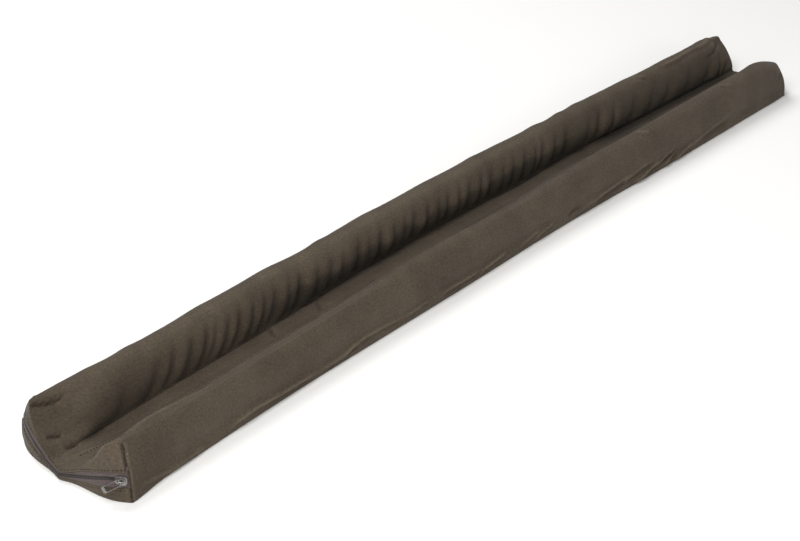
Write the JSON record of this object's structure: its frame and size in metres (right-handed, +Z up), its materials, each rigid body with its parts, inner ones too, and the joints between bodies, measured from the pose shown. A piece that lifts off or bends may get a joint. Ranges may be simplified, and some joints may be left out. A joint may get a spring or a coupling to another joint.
{
  "type": "draught excluder",
  "caption": "Double draught excluder: a cloth cover with two filled rolls side by side, a flat web between them that lies under a door, and an end zip.",
  "frame": {"origin": "on the floor under the middle of the part", "axes": "+X along the rolls, away from the zip; +Y from the front roll to the rear roll; +Z up"},
  "size_m": [0.9265, 0.1203, 0.0415],
  "materials": {
    "cover_cloth": "dark olive-brown plain weave, matt",
    "zip_tape_cloth": "purplish-brown woven tape",
    "zip_coil_nylon": "satin nylon",
    "zip_metal": "dull nickel"
  },
  "bodies": {
    "root": {"cover": "cover_cloth", "zip_tape_upper": "zip_tape_cloth", "zip_tape_lower": "zip_tape_cloth", "zip_coil": "zip_coil_nylon", "zip_slider": "zip_metal", "zip_pull": "zip_metal"}
  },
  "joints": []
}
